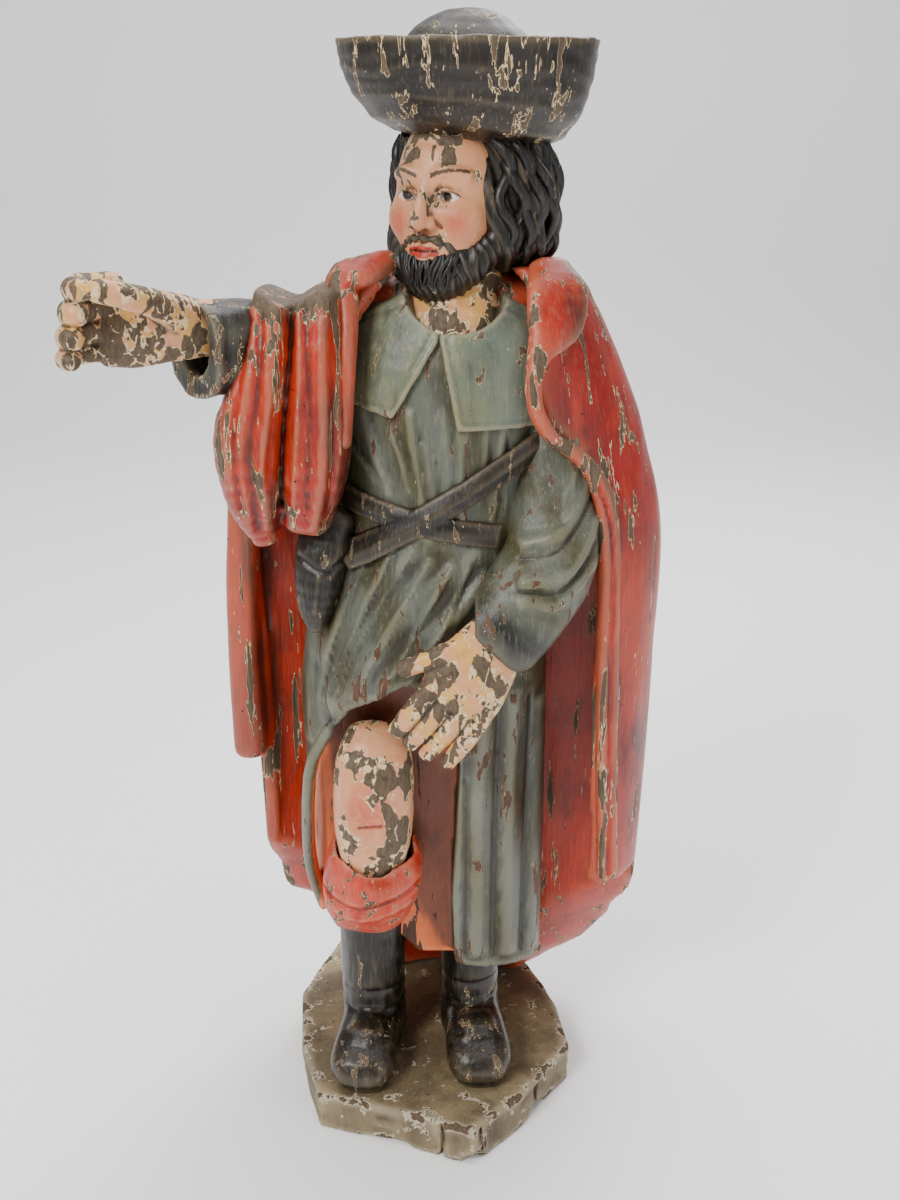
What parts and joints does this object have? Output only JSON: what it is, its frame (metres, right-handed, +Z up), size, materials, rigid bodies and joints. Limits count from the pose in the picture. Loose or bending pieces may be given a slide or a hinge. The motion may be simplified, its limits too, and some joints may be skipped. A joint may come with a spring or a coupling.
{
  "type": "carved wooden saint statue",
  "caption": "Painted carved wooden pilgrim saint with a turned-up hat, red cloak, bared knee and an open grip for a staff, on a thick hewn base.",
  "frame": {"origin": "on the underside of the base, plumb below the figure's neck", "axes": "+Z up the figure, -Y out of its front, +X to the viewer's right"},
  "size_m": [0.4812, 0.3295, 1],
  "materials": {
    "base_wood": "worn grey-brown paint on hewn wood, matt",
    "figure_paint": "worn oil paint over white ground on carved wood, satin",
    "hat_paint": "worn black paint on carved wood, satin",
    "sleeve_paint": "worn blue-black paint on carved wood, satin",
    "flesh_paint": "flaked flesh paint on bare carved wood, satin"
  },
  "bodies": {
    "root": {"base": "base_wood", "figure": "figure_paint", "hat": "hat_paint", "right_forearm": "sleeve_paint", "right_hand": "flesh_paint", "left_hand": "flesh_paint"}
  },
  "joints": []
}
